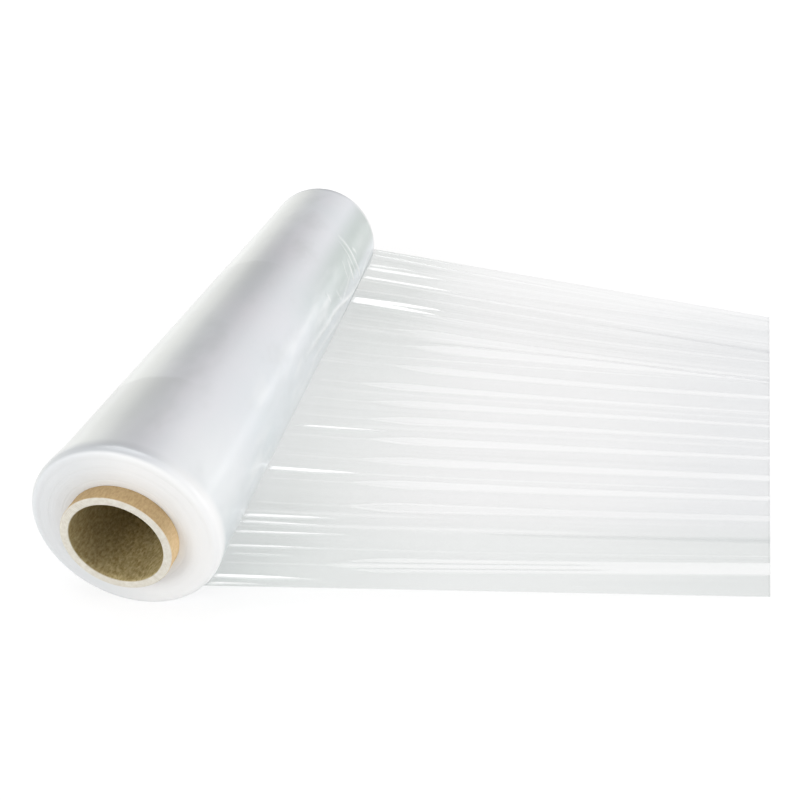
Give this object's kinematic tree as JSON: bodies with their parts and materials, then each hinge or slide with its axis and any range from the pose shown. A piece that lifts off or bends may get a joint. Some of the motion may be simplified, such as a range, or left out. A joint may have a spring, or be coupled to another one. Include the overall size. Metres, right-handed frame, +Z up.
{
  "type": "stretch wrap roll",
  "caption": "Roll of clear stretch wrap film on a spiral-wound paper core, with a creased length of film pulled off to one side.",
  "frame": {"origin": "centre of the core's bore, half way along the roll", "axes": "+Y along the roll, from the end that faces the viewer to the far end; +X the way the film is pulled off; +Z up"},
  "size_m": [0.4872, 0.47, 0.1042],
  "materials": {
    "core_paper": "matt kraft paper, paler at the cut ends",
    "clear_film": "clear polyethylene film, milky where it is wound"
  },
  "bodies": {
    "root": {"core": "core_paper", "film": "clear_film"}
  },
  "joints": []
}
